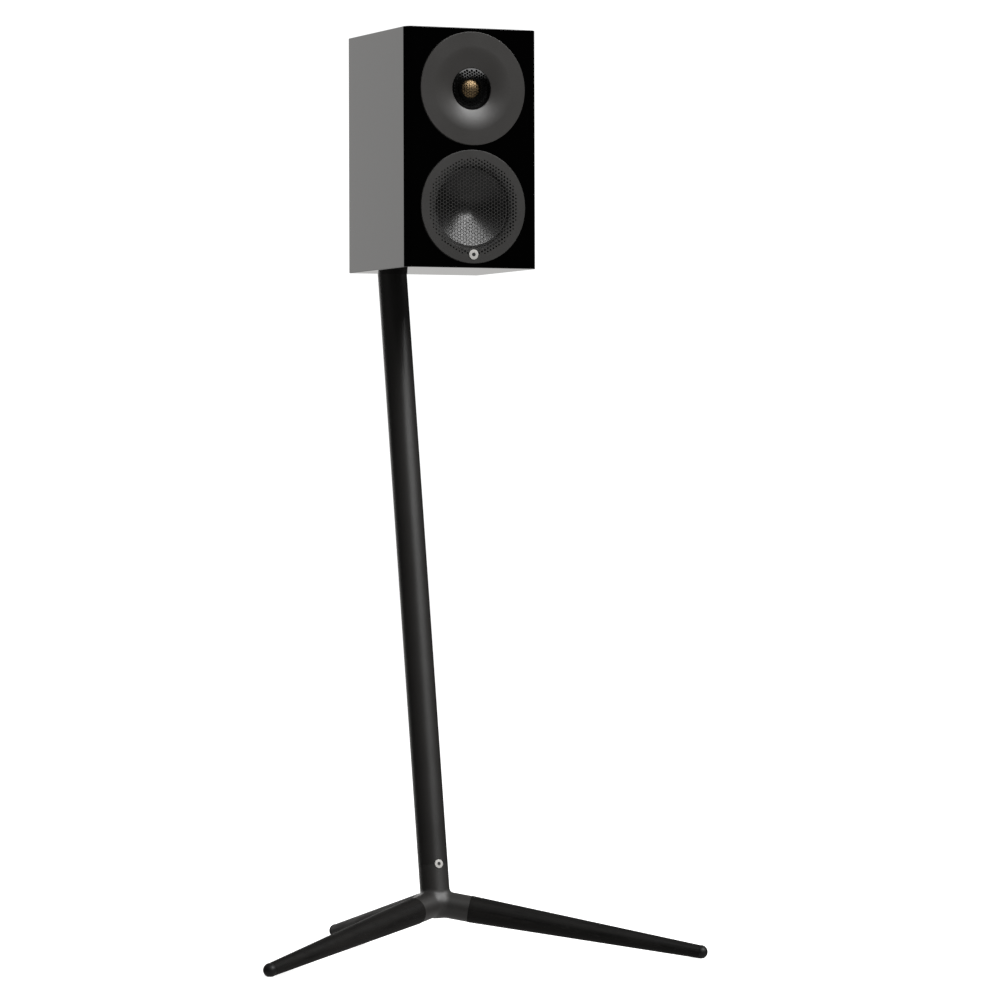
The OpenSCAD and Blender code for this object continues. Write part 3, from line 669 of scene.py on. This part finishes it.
def woofer_suspension():
    """The rubber roll between cone and basket, and the corrugated cloth spider round the former."""
    seat, lap_r, roll_r, lip_r = 5 * MM, 41.6 * MM, 51.6 * MM, 54.2 * MM
    up, down = half_roll(CONE_R - 0.2 * MM, roll_r, seat - 0.2 * MM, 0.8 * MM, 18)
    profile = [(lap_r, seat + 0.45 * MM), (lap_r, seat - 0.25 * MM), (CONE_R - 0.6 * MM, seat - 0.3 * MM)]
    profile += up[1:-1]
    profile += [(51.7 * MM, seat - 0.9 * MM), (lip_r, seat - 0.9 * MM), (lip_r, seat - 0.02 * MM)]
    profile += [(51 * MM, seat - 0.02 * MM)] + down[1:-1] + [(CONE_R + 0.4 * MM, seat + 0.45 * MM)]
    obj = ring_piece("woofer_surround_piece", profile, RUBBER, into_cabinet(WOOFER), 128, "woofer_surround")
    stretched(obj)
    inner, outer, cloth, swing, wavelength = 13 * MM, 31 * MM, 0.55 * MM, 0.7 * MM, 3.6 * MM
    wave = [(r, 24.2 * MM + swing * math.sin(2 * math.pi * (r - inner) / wavelength))
            for r in (inner + (outer - inner) * k / 90 for k in range(91))]
    flat_in, flat_out, front, back = outer + 1 * MM, 35.5 * MM, 24.4 * MM, 24.98 * MM
    flat = [(flat_in, front), (flat_out, front), (flat_out, back), (flat_in, back)]
    profile = wave + flat + [(r, y + cloth) for r, y in reversed(wave)]
    obj = ring_piece("woofer_spider_piece", profile, SPIDER_CLOTH, into_cabinet(WOOFER), 72, "woofer_spider")
    stretched(obj)


# ---------------------------------------------------------------- tweeter
BOWL_R, MESH_R, BOWL_DEPTH = 91.5 / 2 * MM, 22.5 * MM, 4 * MM
MESH_RIM = BOWL_DEPTH - RING_PROUD
PLATE_FACE = 5.8 * MM


def bowl(r):
    """The bowl's depth: it leaves the flat trim softly and is steepest at the mesh."""
    t = (BOWL_R - r) / (BOWL_R - MESH_R)
    return -RING_PROUD + BOWL_DEPTH * max(0.0, t) ** 1.7


def tweeter_waveguide():
    """The flat trim ring and its bowl in one moulding, down to the mounting plate."""
    edge = 0.5 * MM
    rs = [MESH_R + (BOWL_R - MESH_R) * k / 40 for k in range(41)]
    profile = [(MESH_R, PLATE_FACE), (MESH_R, bowl(MESH_R) + 0.5 * MM)]
    profile += [(MESH_R + 0.25 * MM, bowl(MESH_R + 0.3 * MM) + 0.1 * MM)]
    profile += [(r, bowl(r)) for r in rs[1:]]
    profile += [(RING_R - edge + edge * math.sin(t), -RING_PROUD + edge * (1 - math.cos(t)))
                for t in (math.pi / 2 * k / 5 for k in range(6))]
    profile += [(RING_R, 0), (44.5 * MM, 0), (44.5 * MM, PLATE_FACE)]
    lathe("tweeter_waveguide_piece", profile, CHARCOAL, into_cabinet(TWEETER), 192, node="tweeter_waveguide",
          sharp=50)


MESH_BULGE = 3.6 * MM


def tweeter_mesh():
    """A domed guard of thin black metal with a field of six-sided holes, and a pressed rim."""
    outer, thick = MESH_R - 0.6 * MM, 0.3 * MM
    pts, cells, holes, rim = perforated(outer, 96, 3.2 * MM, six_sided(2.7 * MM, 0.3 * MM),
                                        lambda c: 1 if c.length < outer - 1.4 * MM else 0)

    def height(p):
        return MESH_RIM - MESH_BULGE * (1 - (p.length / outer) ** 2)

    n = len(pts)
    verts = [(p.x, p.y, height(p)) for p in pts] + [(p.x, p.y, height(p) + thick) for p in pts]
    faces = list(cells) + [tuple(n + i for i in reversed(f)) for f in cells]
    faces += [(b, a, n + a, n + b) for a, b in holes]
    order = sorted({i for e in rim for i in e}, key=lambda i: math.atan2(pts[i].y, pts[i].x))
    rows = [order]
    for inward, down in ((0.25, 0.05), (0, 0.3), (0, 1), (0.5, 1), (0.6, 0.5)):
        r, z = MESH_R - inward * MM, MESH_RIM + down * MM
        rows.append(list(range(len(verts), len(verts) + len(order))))
        verts += [(pts[i].x / outer * r, pts[i].y / outer * r, z) for i in order]
    rows.append([n + i for i in order])
    faces += loop_faces(rows)
    piece("tweeter_mesh_piece", verts, faces, GUARD_BLACK, into_cabinet(TWEETER), node="tweeter_mesh",
          sharp=40)


DOME_R = 10.25 * MM


def tweeter_moving():
    """The dome, a cap of an ellipse cut off a little before its widest, and the soft roll round it."""
    crown, cut_off, edge = 4.6 * MM, 0.94, PLATE_FACE + 0.96 * MM

    def face(t):
        return edge - crown * math.sqrt(1 - (cut_off * t) ** 2)

    ts = [k / 20 for k in range(21)]
    skirt = PLATE_FACE - 0.1 * MM
    profile = [(DOME_R * t, face(t)) for t in ts] + [(DOME_R, skirt), (DOME_R - 0.4 * MM, skirt)]
    profile += [(DOME_R * t, face(t) + 0.3 * MM) for t in reversed(ts[:19])]
    lathe("tweeter_dome_piece", profile, GOLD, into_cabinet(TWEETER), 96, body="tweeter_dome_group",
          node="tweeter_dome")
    roll_r, lip_r = 14.4 * MM, 18 * MM
    front, back = PLATE_FACE - 0.4 * MM, PLATE_FACE - 0.02 * MM
    up, down = half_roll(DOME_R + 0.05 * MM, roll_r, PLATE_FACE - 0.3 * MM, 0.4 * MM, 12)
    profile = up + [(14.6 * MM, front), (lip_r, front), (lip_r, back), (14.2 * MM, back)] + down
    obj = ring_piece("tweeter_surround_piece", profile, TWEETER_CLOTH, into_cabinet(TWEETER), 72,
                     "tweeter_surround")
    stretched(obj)


# ---------------------------------------------------------------- small round discs
def plain_disc(name, radius, thick, place, node):
    """A turned metal disc with a raised rim and a plain dark dot sunk in the middle."""
    dot, lip = radius * 0.4, 0.25 * MM
    profile = [(0, -thick + 0.2 * MM), (dot - 0.1 * MM, -thick + 0.2 * MM), (dot, -thick + 0.12 * MM),
               (dot + 0.12 * MM, -thick), (radius - lip, -thick), (radius - 0.07 * MM, -thick + 0.07 * MM),
               (radius, -thick + lip), (radius, 0), (0, 0)]
    obj = lathe(name, profile, BADGE_METAL, place, 64, node=node, sharp=30)
    obj.data.materials.append(BADGE_ENAMEL)
    for p in obj.data.polygons:
        near = math.hypot(p.center.x, p.center.y) < dot - 0.1 * MM
        p.material_index = 1 if near and p.center.z < -thick / 2 else 0


# ---------------------------------------------------------------- stand
def column():
    """The tube from the hub's seam to just above the bracket, and the lid that closes its top."""
    above_bracket, wall, chamfer, lid_height = 27 * MM, 2 * MM, 0.25 * MM, 2.5 * MM
    length = (middle("mount_bracket").z - HUB.z) / math.cos(LEAN) + above_bracket / math.cos(LEAN)
    profile = [(COLUMN_R - chamfer, SEAM), (COLUMN_R, SEAM + chamfer), (COLUMN_R, length - chamfer),
               (COLUMN_R - chamfer, length), (COLUMN_R - wall, length), (COLUMN_R - wall, SEAM)]
    lathe("column_tube_piece", profile, COLUMN_PAINT, AT_COLUMN, 128, node="column_tube", sharp=50)
    crown, plug_r, plug_end = length + lid_height, COLUMN_R - wall - 0.05 * MM, length - 10 * MM
    lid = [(0, crown - 0.3 * MM), (COLUMN_R * 0.5, crown - 0.35 * MM),
           (COLUMN_R - 1.2 * MM, crown - 0.6 * MM), (COLUMN_R - 0.4 * MM, crown - 1.0 * MM),
           (COLUMN_R, crown - 1.6 * MM), (COLUMN_R, length + 0.1 * MM),
           (plug_r, length + 0.1 * MM), (plug_r, plug_end), (0, plug_end)]
    lathe("column_cap_piece", lid, BLACK_PLASTIC, AT_COLUMN, 96, node="column_cap")


def hub():
    """The casting: neck and three arms run into each other through soft fillets.

    The surface is found by sliding the points of a coarse union onto a smooth blend of the four rods."""
    rods = [(np.array(AT_COLUMN.to_3x3() @ Vector((0, 0, 1))), COLUMN_R)]
    rods += [(np.array(AT_LEG[n].to_3x3() @ Vector((0, 0, 1))), LEG_R - 0.3 * MM) for n in LEG_TURNS]
    blend = 4.5 * MM

    def rod_distance(p, axis, radius):
        along = p @ axis
        radial = p - np.outer(np.maximum(along, 0), axis)
        return np.linalg.norm(radial, axis=1) - radius

    def distance(p):
        d = rod_distance(p, *rods[0])
        for rod in rods[1:]:
            e = rod_distance(p, *rod)
            h = np.maximum(blend - np.abs(d - e), 0) / blend
            d = np.minimum(d, e) - h * h * blend * 0.25
        return d

    bm = bmesh.new()
    for axis, radius in rods:
        turn = Vector((0, 0, 1)).rotation_difference(Vector(axis)).to_matrix().to_4x4()
        reach = (SEAM if radius == COLUMN_R else ARM) + 6 * MM
        coarse = radius + 1 * MM
        bmesh.ops.create_cone(bm, cap_ends=True, segments=48, radius1=coarse, radius2=coarse, depth=reach,
                              matrix=turn @ Matrix.Translation((0, 0, reach / 2)))
    bmesh.ops.create_icosphere(bm, subdivisions=4, radius=COLUMN_R + 1.5 * MM)
    mesh = bpy.data.meshes.new("hub_piece")
    bm.to_mesh(mesh)
    bm.free()
    obj = bpy.data.objects.new("hub_form", mesh)
    bpy.context.scene.collection.objects.link(obj)
    remesh = obj.modifiers.new("voxels", "REMESH")
    remesh.mode, remesh.voxel_size = "VOXEL", 0.9 * MM
    dg = bpy.context.evaluated_depsgraph_get()
    mesh = bpy.data.meshes.new_from_object(obj.evaluated_get(dg))
    bpy.data.objects.remove(obj)
    p = np.array([v.co for v in mesh.vertices], float)
    for _ in range(12):
        d = distance(p)
        step = 1e-5
        slopes = [(distance(p + step * e) - distance(p - step * e)) / (2 * step) for e in np.eye(3)]
        grad = np.stack(slopes, 1)
        grad /= np.maximum((grad ** 2).sum(1, keepdims=True), 1e-9)
        p -= np.clip(d[:, None] * grad, -2 * MM, 2 * MM)
    mesh.vertices.foreach_set("co", p.astype(np.float32).ravel())
    bm = bmesh.new()
    bm.from_mesh(mesh)
    for axis, radius in rods:
        reach = SEAM if radius == COLUMN_R else ARM
        cut = bmesh.ops.bisect_plane(bm, geom=bm.verts[:] + bm.edges[:] + bm.faces[:], clear_outer=True,
                                     plane_co=Vector(axis) * reach, plane_no=Vector(axis))
        edges = [e for e in cut["geom_cut"] if isinstance(e, bmesh.types.BMEdge)]
        bmesh.ops.edgeloop_fill(bm, edges=edges)
    bm.to_mesh(mesh)
    bm.free()
    finish_piece("hub_piece", mesh, HUB_CAST, Matrix.Translation(HUB), node="hub", sharp=50)


def legs():
    """Tapered legs: an eased shoulder at the hub and a soft end at the foot tip."""
    start, end, steps = ARM + 0.5 * MM, LEG_LEN - FOOT_SEAT - 0.4 * MM, 40
    for name, place in AT_LEG.items():
        profile = [(0, ARM + 0.02 * MM), (LEG_R - 0.5 * MM, ARM + 0.02 * MM),
                   (LEG_R - 0.15 * MM, ARM + 0.15 * MM), (LEG_R, start)]
        for t in (k / steps for k in range(1, steps + 1)):
            profile.append((LEG_R + (LEG_TIP_R - LEG_R) * t, start + (end - start) * t))
        profile += [(LEG_TIP_R - 0.3 * MM, end + 0.35 * MM), (0, end + 0.35 * MM)]
        lathe(name + "_piece", profile, LEG_WOOD, place, 96, node=name)


def feet():
    """Rounded rubber tips with a small flat where they stand."""
    verts, faces = [], []
    for place in AT_LEG.values():
        steps = 26
        profile = [(0, LEG_LEN - FOOT_SEAT), (5 * MM, LEG_LEN - FOOT_SEAT)]
        start = math.acos(-FOOT_SEAT / FOOT_R)
        for k in range(steps + 1):
            t = start * (1 - k / steps)
            profile.append((FOOT_R * math.sin(t), LEG_LEN + FOOT_R * math.cos(t)))
        v, f = lathe_mesh(profile, 64)
        base = len(verts)
        for q in v:
            w = place @ Vector(q)
            w.z = max(w.z, 0.0)
            verts.append(tuple(w))
        faces += [tuple(base + i for i in g) for g in f]
    mesh = bpy.data.meshes.new("feet_piece")
    mesh.from_pydata(verts, [], faces)
    finish_piece("feet_piece", mesh, FOOT_RUBBER, node="feet", sharp=50)


# ---------------------------------------------------------------- rear
def port():
    """The rear port: a plain tube with a flange on the rear panel and a rounded mouth."""
    centre = Vector((0, FRONT_Y, middle("port_tube").z))
    start, mouth = low("port_tube").y - FRONT_Y, high("port_tube").y - FRONT_Y
    r, flare, panel_face = 17 * MM, 6 * MM, 161 * MM
    profile = [(r + 2 * MM, start), (r + 2 * MM, panel_face), (r + 9 * MM, panel_face),
               (r + 9 * MM, mouth - 0.8 * MM), (r + 8.7 * MM, mouth - 0.25 * MM), (r + 8.2 * MM, mouth)]
    profile += [(r + flare - flare * math.cos(t), mouth - flare + flare * math.sin(t))
                for t in (math.pi / 2 * (1 - k / 14) for k in range(15))]
    profile += [(r, start + 1.2 * MM), (r + 0.5 * MM, start + 0.2 * MM), (r + 1 * MM, start)]
    lathe("port_tube_piece", profile, BLACK_PLASTIC, into_cabinet(centre), 128, node="port_tube", sharp=50)


def knob(node, mat):
    """A moulded binding-post knob: twelve soft flutes, an eased crown and a plain skirt."""
    lo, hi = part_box(node)
    centre = Vector(((lo.x + hi.x) / 2, lo.y, (lo.z + hi.z) / 2))
    length = hi.y - lo.y
    sides, flutes, flute_depth, bore = 144, 12, 0.55 * MM, 3.1 * MM
    # radius, distance from the skirt, and how deep the flutes are cut there
    section = [(bore, 0, 0), (6.7 * MM, 0, 0), (7 * MM, 0.3 * MM, 0), (7 * MM, 1.3 * MM, 0),
               (7.3 * MM, 1.6 * MM, 0.3), (7.6 * MM, 2.1 * MM, 1), (7.6 * MM, length - 1.6 * MM, 1),
               (7.35 * MM, length - 0.8 * MM, 0.9), (6.7 * MM, length - 0.2 * MM, 0.5), (6.2 * MM, length, 0),
               (4.4 * MM, length, 0), (4.1 * MM, length - 0.3 * MM, 0), (bore, length - 0.3 * MM, 0)]
    verts, rows = [], []
    for r, z, fluted in section:
        rows.append(list(range(len(verts), len(verts) + sides)))
        for k in range(sides):
            a = 2 * math.pi * k / sides
            cut = flute_depth * fluted * (0.5 + 0.5 * math.cos(flutes * a)) ** 2
            verts.append(((r - cut) * math.cos(a), (r - cut) * math.sin(a), z))
    faces = loop_faces(rows + rows[:1])
    piece(node + "_piece", verts, faces, mat, into_cabinet(centre), body=node, node=node, sharp=50)


front_baffle()
cabinet_shell()
woofer_grille()
woofer_moving()
woofer_suspension()
tweeter_waveguide()
tweeter_mesh()
tweeter_moving()
on_grille = into_cabinet(WOOFER + Vector((0, -RING_PROUD, -DISC_DROP)))
column_front = Matrix.Translation((0, -(COLUMN_R - 0.8 * MM), SEAM))
on_column = AT_COLUMN @ column_front @ Matrix.Rotation(-math.pi / 2, 4, "X")
plain_disc("driver_disc_piece", DISC_R, 0.8 * MM, on_grille, "driver_disc")
plain_disc("column_disc_piece", 4.8 * MM, 1.3 * MM, on_column, "column_disc")
column()
hub()
legs()
feet()
port()
knob("knob_red", RED_PLASTIC)
knob("knob_black", GLOSS_BLACK_PLASTIC)

# pieces cut from the CAD solid's faces: their material, and the width of their eased edges in millimetres
REFINED = {
    "rear_panel": (BLACK_BOARD, 0.5), "terminal_cup": (BLACK_PLASTIC, 0.5),
    "mount_bracket": (BLACK_CAST, 1.2), "bracket_bolts": (BLACK_STEEL, 0.4), "cup_screws": (BLACK_STEEL, 0.2),
    "post_studs": (GOLD_PLATE, 0.25), "post_nuts": (GOLD_PLATE, 0.4),
    "post_collars": (GLOSS_BLACK_PLASTIC, 0.4),
    "clamp_washer_red": (GOLD_PLATE, 0.15), "clamp_washer_black": (GOLD_PLATE, 0.15),
    "hub_bolt": (BLACK_STEEL, 0.4), "woofer_basket": (BLACK_CAST, 0.4), "woofer_screws": (BLACK_STEEL, 0.2),
    "tweeter_plate": (TWEETER_FACE, 0.3),
}
for node_name, (mat, bevel_mm) in REFINED.items():
    refine(node_name, mat, bevel_mm * MM)

# CAD nodes that stay as they are, hidden inside the cabinet, the drivers or the stand
KEPT = {
    "window_brace": RAW_BOARD, "damping_felt": FELT, "woofer_gasket": RUBBER, "woofer_former": FORMER,
    "woofer_coil": COPPER, "woofer_top_plate": ZINC, "woofer_magnet": FERRITE, "woofer_yoke": ZINC,
    "tweeter_coil": COPPER, "tweeter_magnet": ZINC, "tweeter_pole": ZINC, "tweeter_pot": ZINC,
    "tweeter_rear_cup": BLACK_PLASTIC, "tweeter_screws": ZINC, "crossover_board": BOARD_GREEN,
    "board_spacers": NYLON, "inductors": COPPER, "capacitors": FILM, "resistors": CEMENT, "leads": LEAD,
    "column_plug": ZINC, "leg_studs": ZINC, "bracket_inserts": ZINC,
}
for node_name, mat in KEPT.items():
    slots = NODES[node_name].data.materials
    slots.clear()
    slots.append(mat)


# ---------------------------------------------------------------- camera, floor and light
AZIMUTH, TILT, ROLL = math.radians(23.98), math.radians(0.12), math.radians(-0.164)
CAMERA_FROM_CABINET = Vector((-2.2054, -5.1108, 0.4894))
forward = Vector((math.sin(AZIMUTH), math.cos(AZIMUTH), 0))
cabinet_middle = Vector((0, (FRONT_Y + REAR_Y) / 2, 0))
camera = bpy.data.objects.new("camera", bpy.data.cameras.new("camera"))
bpy.context.scene.collection.objects.link(camera)
camera.data.sensor_width, camera.data.lens = 36, 183.2
camera.data.clip_start, camera.data.clip_end = 0.1, 200
camera.location = cabinet_middle + CAMERA_FROM_CABINET
look = Vector((forward.x, forward.y, math.tan(TILT)))
camera.rotation_mode = "QUATERNION"
camera.rotation_quaternion = look.to_track_quat("-Z", "Y") @ Matrix.Rotation(ROLL, 4, "Z").to_quaternion()
bpy.context.scene.camera = camera
bpy.context.scene.view_settings.view_transform = "Standard"


def soft_box(name, toward, distance, size, power):
    """An area light at `toward` (azimuth, elevation in degrees, azimuth 0 in front) facing the object."""
    centre = Vector((0, -0.05, 0.6))
    a, e = (math.radians(v) for v in toward)
    back = Vector((math.sin(a) * math.cos(e), -math.cos(a) * math.cos(e), math.sin(e)))
    light = bpy.data.lights.new(name, "AREA")
    light.shape, light.size, light.size_y, light.energy = "RECTANGLE", *size, power
    obj = bpy.data.objects.new(name, light)
    bpy.context.scene.collection.objects.link(obj)
    obj.location = centre + back * distance
    obj.rotation_mode = "QUATERNION"
    obj.rotation_quaternion = (-back).to_track_quat("-Z", "Y")


soft_box("key", (32, 38), 7.0, (5.9, 2.4), 575)


def floor():
    """A pale floor that the camera sees; the studio below the horizon does the bounced light."""
    mesh = bpy.data.meshes.new("floor")
    bm = bmesh.new()
    bmesh.ops.create_circle(bm, cap_ends=True, segments=96, radius=60)
    bm.to_mesh(mesh)
    bm.free()
    obj = bpy.data.objects.new("floor", mesh)
    bpy.context.scene.collection.objects.link(obj)
    m, nodes, links, bsdf = material("pale_floor", (0.9, 0.9, 0.89), 0.8)
    bsdf.inputs["Emission Color"].default_value = (1, 1, 1, 1)
    bsdf.inputs["Emission Strength"].default_value = 0.82
    speck = noise(nodes, links, coords(nodes, links), 30, 3)
    links.new(tint(nodes, links, speck, (0.88, 0.88, 0.87), (0.92, 0.92, 0.91)), bsdf.inputs["Base Color"])
    obj.data.materials.append(m)
    obj.visible_glossy = False
    obj.visible_diffuse = False


# how bright each stretch of the studio is to all but the camera
BACKDROP, FLOOR_BEHIND, CEILING, AMBIENT, FLOOR_NEAR = 1.35, 0.6, 0.25, 0.01, 0.50


def studio():
    """A white backdrop behind the object, a soft ceiling, dim elsewhere; the camera sees white all round."""
    world = bpy.data.worlds.new("studio")
    bpy.context.scene.world = world
    world.use_nodes = True
    nodes, links = world.node_tree.nodes, world.node_tree.links
    nodes.clear()
    tex = nodes.new("ShaderNodeTexCoord")
    split = nodes.new("ShaderNodeSeparateXYZ")
    links.new(tex.outputs["Generated"], split.inputs["Vector"])

    def ramp(value, start, end, low_out, high_out):
        r = nodes.new("ShaderNodeMapRange")
        r.interpolation_type = "SMOOTHSTEP"
        for key, v in (("From Min", start), ("From Max", end), ("To Min", low_out), ("To Max", high_out)):
            r.inputs[key].default_value = v
        links.new(value, r.inputs["Value"])
        return r.outputs["Result"]

    def combine(operation, a, b):
        n = nodes.new("ShaderNodeMath")
        n.operation = operation
        links.new(a, n.inputs[0])
        links.new(b, n.inputs[1])
        return n.outputs["Value"]

    # a direction's Y runs from 1 straight behind the object to -1, its Z from 1 straight up to -1
    behind = ramp(split.outputs["Y"], 0.866, 0.895, 0, 1)
    backdrop = combine("MULTIPLY", behind, ramp(split.outputs["Z"], -0.03, 0, FLOOR_BEHIND, BACKDROP))
    ceiling = ramp(split.outputs["Z"], 0.1, 0.6, AMBIENT, CEILING)
    below = ramp(split.outputs["Z"], -0.08, -0.45, 0, FLOOR_NEAR)
    lit = nodes.new("ShaderNodeBackground")
    lit.inputs["Color"].default_value = (1, 0.99, 0.975, 1)
    links.new(combine("ADD", combine("ADD", backdrop, ceiling), below), lit.inputs["Strength"])
    seen = nodes.new("ShaderNodeBackground")
    seen.inputs["Color"].default_value = (1, 1, 1, 1)
    seen.inputs["Strength"].default_value = 1.1
    rays = nodes.new("ShaderNodeLightPath")
    mix = nodes.new("ShaderNodeMixShader")
    links.new(rays.outputs["Is Camera Ray"], mix.inputs["Fac"])
    links.new(lit.outputs["Background"], mix.inputs[1])
    links.new(seen.outputs["Background"], mix.inputs[2])
    out = nodes.new("ShaderNodeOutputWorld")
    links.new(mix.outputs["Shader"], out.inputs["Surface"])


floor()
studio()
